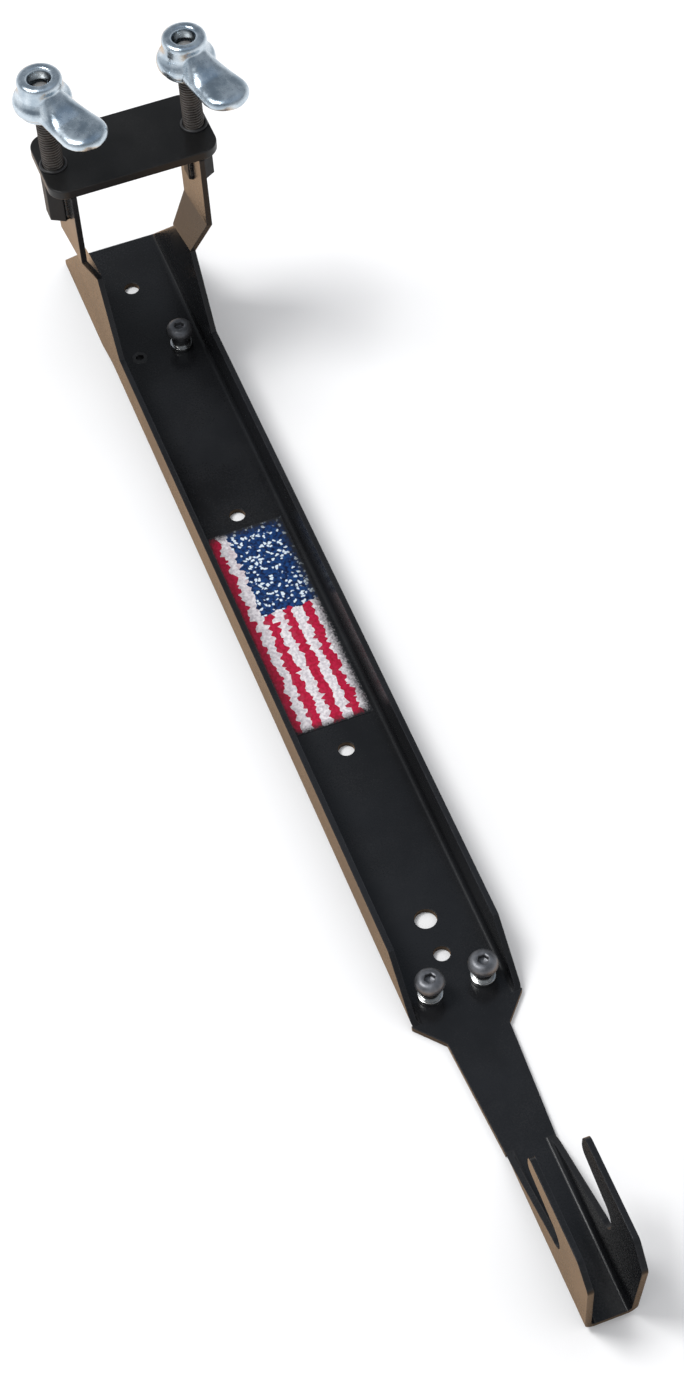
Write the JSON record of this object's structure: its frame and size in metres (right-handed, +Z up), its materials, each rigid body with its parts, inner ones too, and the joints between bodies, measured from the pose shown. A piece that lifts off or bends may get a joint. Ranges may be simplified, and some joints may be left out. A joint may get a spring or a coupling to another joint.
{
  "type": "clamp-on hitch bar",
  "caption": "Folded steel channel bar for a weight distribution hitch, with a screw clamp for a frame rail at one end and a slotted hook fork at the other.",
  "frame": {"origin": "on the underside of the bar's web, on the centre line, halfway between the clamp end and the fork's lower front edge", "axes": "+X along the bar from the clamp to the fork, +Y to the right, +Z up through the open side of the channel"},
  "size_m": [0.8138, 0.1309, 0.2326],
  "materials": {
    "powder_coat": "glossy black powder coat",
    "powder_coat_plate": "glossy black powder coat",
    "black_stud": "dark oiled thread",
    "black_bush": "satin black",
    "black_oxide": "satin black oxide",
    "zinc_bright": "bright zinc plate",
    "zinc_cast": "blue-white zinc plate on a cast surface",
    "decal_film": "satin printed film"
  },
  "bodies": {
    "bar": {"hitch_bar": "powder_coat", "decal": "decal_film", "hole_plug": "black_oxide", "coupling_nut_left": "powder_coat", "coupling_nut_right": "powder_coat", "stud_left": "black_stud", "stud_right": "black_stud", "post_screw_1": "black_oxide", "post_ring_1": "zinc_bright", "post_spacer_1": "zinc_bright", "post_screw_2": "black_oxide", "post_ring_2": "zinc_bright", "post_spacer_2": "zinc_bright", "post_screw_3": "black_oxide", "post_ring_3": "zinc_bright", "post_spacer_3": "zinc_bright"},
    "clamp_plate": {"clamp_plate": "powder_coat_plate", "guide_bush_left": "black_bush", "guide_bush_right": "black_bush"},
    "left_washer": {"nut_washer_left": "zinc_cast"},
    "left_lever": {"lever_nut_left": "zinc_cast"},
    "right_washer": {"nut_washer_right": "zinc_cast"},
    "right_lever": {"lever_nut_right": "zinc_cast"}
  },
  "joints": [
    {"name": "plate_slide", "type": "slide", "parent": "bar", "child": "clamp_plate", "axis": [0, 0, 1], "range_m": [0, 0.0435]},
    {"name": "left_nut_travel", "type": "slide", "parent": "bar", "child": "left_washer", "axis": [0, 0, 1], "range_m": [-0.04357, 0.00792]},
    {"name": "left_lever_turn", "type": "hinge", "parent": "left_washer", "child": "left_lever", "pos_m": [-0.324, -0.0438, 0.2117], "axis": [0, 0, 1], "range_deg": [-8010, 1440]},
    {"name": "right_nut_travel", "type": "slide", "parent": "bar", "child": "right_washer", "axis": [0, 0, 1], "range_m": [-0.04357, 0.00792]},
    {"name": "right_lever_turn", "type": "hinge", "parent": "right_washer", "child": "right_lever", "pos_m": [-0.324, 0.0438, 0.2117], "axis": [0, 0, 1], "range_deg": [-8010, 1440]}
  ],
  "couplings": [
    {"joint": "left_nut_travel", "follows": "left_lever_turn", "m_per_rad": 0.00031096},
    {"joint": "right_nut_travel", "follows": "right_lever_turn", "m_per_rad": 0.00031096}
  ]
}
